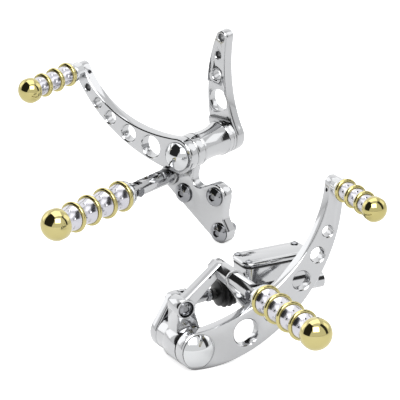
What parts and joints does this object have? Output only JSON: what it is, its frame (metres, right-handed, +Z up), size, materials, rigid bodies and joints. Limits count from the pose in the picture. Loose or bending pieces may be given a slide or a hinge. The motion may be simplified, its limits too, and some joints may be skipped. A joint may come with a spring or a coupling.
{
  "type": "motorcycle forward controls",
  "caption": "Left and right forward foot controls: shift lever with linkage arm, brake pedal with master cylinder, folding pegs with gold rings.",
  "frame": {"origin": "middle of the three bolt holes on the shift bracket's back face, where it bolts to the frame", "axes": "+X inward from the shift side, +Y forward on the shift side, +Z up; the brake side stands beside it, turned about Z as in the picture"},
  "size_m": [0.4008, 0.5644, 0.1952],
  "materials": {
    "anodised_bronze": "hard anodised",
    "black_rubber": "moulded black rubber",
    "bright_steel": "plated steel",
    "bronze": "sintered bronze",
    "chrome": "bright chrome plate",
    "dark_steel": "black oxide steel",
    "gold": "polished gold plate",
    "polished_aluminium": "mirror polished billet aluminium",
    "satin_silver": "bright dipped silver, faintly lavender"
  },
  "bodies": {
    "root": {"shift_bracket": "polished_aluminium", "shift_bracket_bolts": "bright_steel", "shift_pivot_tube": "polished_aluminium", "shift_pivot_bushes": "bronze", "shift_thrust_washers": "bronze", "shift_foot_peg_mount": "polished_aluminium", "shift_foot_peg_bolt": "bright_steel", "shift_foot_peg_pin": "bright_steel", "brake_bracket": "polished_aluminium", "brake_bracket_bolts": "bright_steel", "brake_pivot_tube": "polished_aluminium", "brake_pivot_bushes": "bronze", "brake_thrust_washers": "bronze", "brake_foot_peg_mount": "polished_aluminium", "brake_foot_peg_bolt": "bright_steel", "brake_foot_peg_pin": "bright_steel", "brake_grease_nipple": "bright_steel", "master_cylinder": "polished_aluminium", "master_cylinder_screws": "bright_steel", "reservoir_gasket": "black_rubber", "reservoir_lid": "polished_aluminium", "reservoir_lid_screws": "bright_steel"},
    "shift_lever_body": {"shift_pivot_shaft": "bright_steel", "shift_toe_lever": "polished_aluminium", "shift_dome_cap": "chrome", "shift_linkage_arm": "polished_aluminium", "shift_arm_screw": "bright_steel", "shift_toe_peg_core": "chrome", "shift_toe_peg_grips": "satin_silver", "shift_toe_peg_rings": "gold", "shift_toe_peg_cap": "gold", "shift_toe_peg_lock_screw": "dark_steel"},
    "shift_foot_peg_body": {"shift_foot_peg_core": "chrome", "shift_foot_peg_grips": "satin_silver", "shift_foot_peg_rings": "gold", "shift_foot_peg_cap": "gold"},
    "brake_pedal_body": {"brake_pivot_shaft": "bright_steel", "brake_pedal": "polished_aluminium", "brake_dome_cap": "chrome", "brake_inner_arm": "polished_aluminium", "brake_arm_screw": "bright_steel", "brake_toe_peg_core": "chrome", "brake_toe_peg_grips": "satin_silver", "brake_toe_peg_rings": "gold", "brake_toe_peg_cap": "gold", "brake_toe_peg_lock_screw": "dark_steel"},
    "brake_foot_peg_body": {"brake_foot_peg_core": "chrome", "brake_foot_peg_grips": "satin_silver", "brake_foot_peg_rings": "gold", "brake_foot_peg_cap": "gold"},
    "pushrod_body": {"pushrod_clevis": "polished_aluminium", "pushrod_clevis_pin": "bright_steel", "pushrod_lock_nut": "bright_steel", "pushrod": "bright_steel", "pushrod_boot": "black_rubber"},
    "piston_body": {"master_piston": "anodised_bronze"}
  },
  "joints": [
    {"name": "shift_pivot", "type": "hinge", "parent": "root", "child": "shift_lever_body", "pos_m": [0.024, 0.0259, 0.05143], "axis": [1, 0, 0], "range_deg": [-6, 10]},
    {"name": "shift_foot_peg_fold", "type": "hinge", "parent": "root", "child": "shift_foot_peg_body", "pos_m": [-0.069, 0.0451, 0.02403], "axis": [0, 1, 0], "range_deg": [0, 85]},
    {"name": "brake_pivot", "type": "hinge", "parent": "root", "child": "brake_pedal_body", "pos_m": [-0.27942, -0.18892, -0.01407], "axis": [0.3859, 0.9225, 0], "range_deg": [0, 12]},
    {"name": "brake_foot_peg_fold", "type": "hinge", "parent": "root", "child": "brake_foot_peg_body", "pos_m": [-0.27154, -0.27243, 0.05393], "axis": [-0.9225, 0.3859, 0], "range_deg": [0, 85]},
    {"name": "pushrod_swing", "type": "hinge", "parent": "brake_pedal_body", "child": "pushrod_body", "pos_m": [-0.25838, -0.16195, 0.01493], "axis": [0.3859, 0.9225, 0], "range_deg": [-14.09, 0]},
    {"name": "piston_slide", "type": "slide", "parent": "root", "child": "piston_body", "axis": [0.9225, -0.3859, 0], "range_m": [0, 0.00578]}
  ],
  "couplings": [
    {"joint": "pushrod_swing", "follows": "brake_pivot", "ratio": -1.174},
    {"joint": "piston_slide", "follows": "brake_pivot", "m_per_rad": 0.0276}
  ]
}
